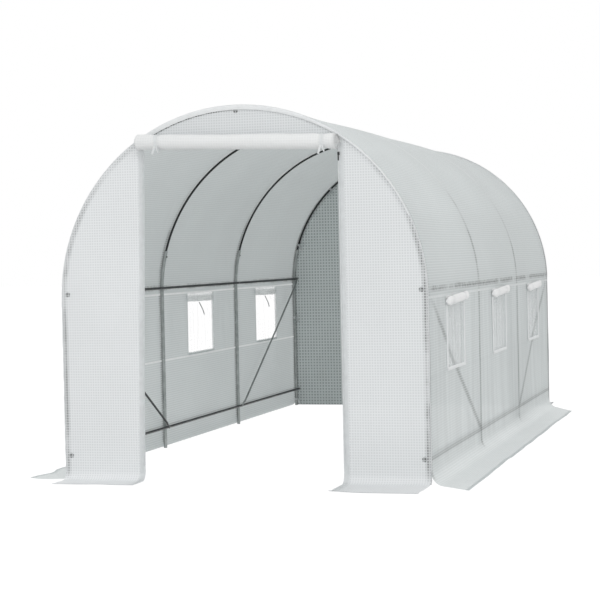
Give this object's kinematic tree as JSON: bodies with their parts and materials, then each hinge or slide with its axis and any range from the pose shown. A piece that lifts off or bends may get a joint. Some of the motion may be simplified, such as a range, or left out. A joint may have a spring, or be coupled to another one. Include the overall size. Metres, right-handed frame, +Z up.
{
  "type": "polytunnel greenhouse",
  "caption": "Walk-in garden tunnel greenhouse: bolted tube hoops and rails under a white film cover with a rolled-up door, netted side windows and ground skirts.",
  "frame": {"origin": "on the ground at the middle of the tunnel", "axes": "+Z up, +Y along the tunnel from the doorway to the rear, +X to the right as seen from the doorway"},
  "size_m": [2.4586, 5.1186, 1.9732],
  "materials": {
    "cover_film": "white translucent film with a fine woven grid",
    "rolled_film": "white film, rolled",
    "frame_steel": "dark grey coating, satin",
    "leg_steel": "grey coating, satin",
    "window_net": "fine mesh",
    "tie_tape": "woven tape"
  },
  "bodies": {
    "root": {"front_hoop_legs": "leg_steel", "front_hoop_left_arc": "frame_steel", "front_hoop_right_arc": "frame_steel", "second_hoop_legs": "leg_steel", "second_hoop_left_arc": "frame_steel", "second_hoop_right_arc": "frame_steel", "third_hoop_legs": "leg_steel", "third_hoop_left_arc": "frame_steel", "third_hoop_right_arc": "frame_steel", "rear_hoop_legs": "leg_steel", "rear_hoop_left_arc": "frame_steel", "rear_hoop_right_arc": "frame_steel", "ridge_rail": "frame_steel", "left_shoulder_rail": "frame_steel", "right_shoulder_rail": "frame_steel", "left_base_rail": "frame_steel", "right_base_rail": "frame_steel", "front_left_brace": "frame_steel", "front_right_brace": "frame_steel", "rear_left_brace": "frame_steel", "rear_right_brace": "frame_steel", "roof_cover": "cover_film", "left_window_band": "cover_film", "right_window_band": "cover_film", "left_lower_cover": "cover_film", "right_lower_cover": "cover_film", "front_left_panel": "cover_film", "front_right_panel": "cover_film", "front_gable_panel": "cover_film", "rear_panel": "cover_film", "door_roll": "rolled_film", "door_ties": "tie_tape", "left_window_net_1": "window_net", "left_window_net_2": "window_net", "left_window_net_3": "window_net", "right_window_net_1": "window_net", "right_window_net_2": "window_net", "right_window_net_3": "window_net", "left_window_flap_1": "rolled_film", "left_window_flap_2": "rolled_film", "left_window_flap_3": "rolled_film", "right_window_flap_1": "rolled_film", "right_window_flap_2": "rolled_film", "right_window_flap_3": "rolled_film"}
  },
  "joints": []
}
